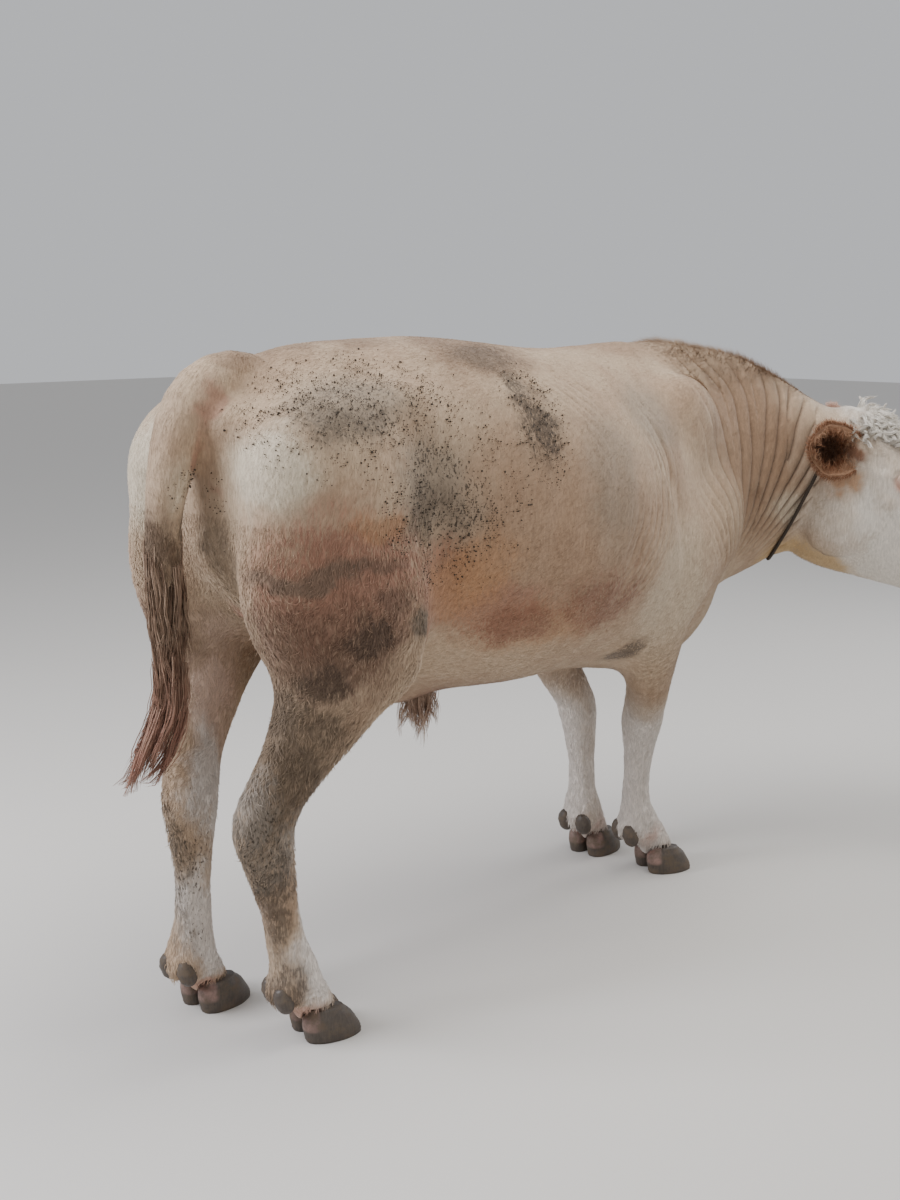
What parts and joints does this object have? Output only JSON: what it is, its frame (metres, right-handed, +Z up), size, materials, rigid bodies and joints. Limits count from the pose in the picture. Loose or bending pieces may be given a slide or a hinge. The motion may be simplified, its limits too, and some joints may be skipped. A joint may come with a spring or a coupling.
{
  "type": "standing cattle bull model",
  "caption": "Life-size still model of a standing cream-white polled beef bull, head turned right and lowered, with a rope collar.",
  "frame": {"origin": "on the floor under the middle of the whole model's box, the soles of all hooves at z = 0", "axes": "+X from tail to chest along the trunk, +Y to the animal's left, +Z up"},
  "size_m": [2.3124, 1.0246, 1.4015],
  "materials": {
    "coat_cream": "short cream hair coat, matt",
    "coat_white": "short off-white hair, matt",
    "coat_stained": "curly hair with dry dirt, matt",
    "ear_hair": "rust-brown hair, matt",
    "long_hair": "long auburn hair, matted",
    "bare_skin": "bare pink skin, fine wrinkles",
    "hoof_horn": "dark grey-brown horn with dry dirt",
    "eyeball": "dark moist eye",
    "rope": "dark twisted rope, matt"
  },
  "bodies": {
    "root": {"barrel": "coat_cream", "cannon_fore_left": "coat_white", "cannon_fore_right": "coat_white", "cannon_hind_left": "coat_white", "cannon_hind_right": "coat_white", "dewclaw_fore_left_inner": "hoof_horn", "dewclaw_fore_left_outer": "hoof_horn", "dewclaw_fore_right_inner": "hoof_horn", "dewclaw_fore_right_outer": "hoof_horn", "dewclaw_hind_left_inner": "hoof_horn", "dewclaw_hind_left_outer": "hoof_horn", "dewclaw_hind_right_inner": "hoof_horn", "dewclaw_hind_right_outer": "hoof_horn", "ear_left": "ear_hair", "ear_right": "ear_hair", "eye_left": "eyeball", "eye_right": "eyeball", "forearm_left": "coat_white", "forearm_right": "coat_white", "gaskin_left": "coat_stained", "gaskin_right": "coat_stained", "head": "coat_white", "hindquarters": "coat_cream", "hoof_fore_left_inner": "hoof_horn", "hoof_fore_left_outer": "hoof_horn", "hoof_fore_right_inner": "hoof_horn", "hoof_fore_right_outer": "hoof_horn", "hoof_hind_left_inner": "hoof_horn", "hoof_hind_left_outer": "hoof_horn", "hoof_hind_right_inner": "hoof_horn", "hoof_hind_right_outer": "hoof_horn", "neck": "coat_cream", "rope_collar": "rope", "scrotum": "bare_skin", "sheath_tuft": "long_hair", "shoulders": "coat_cream", "tail": "coat_cream", "tail_switch": "long_hair"}
  },
  "joints": []
}
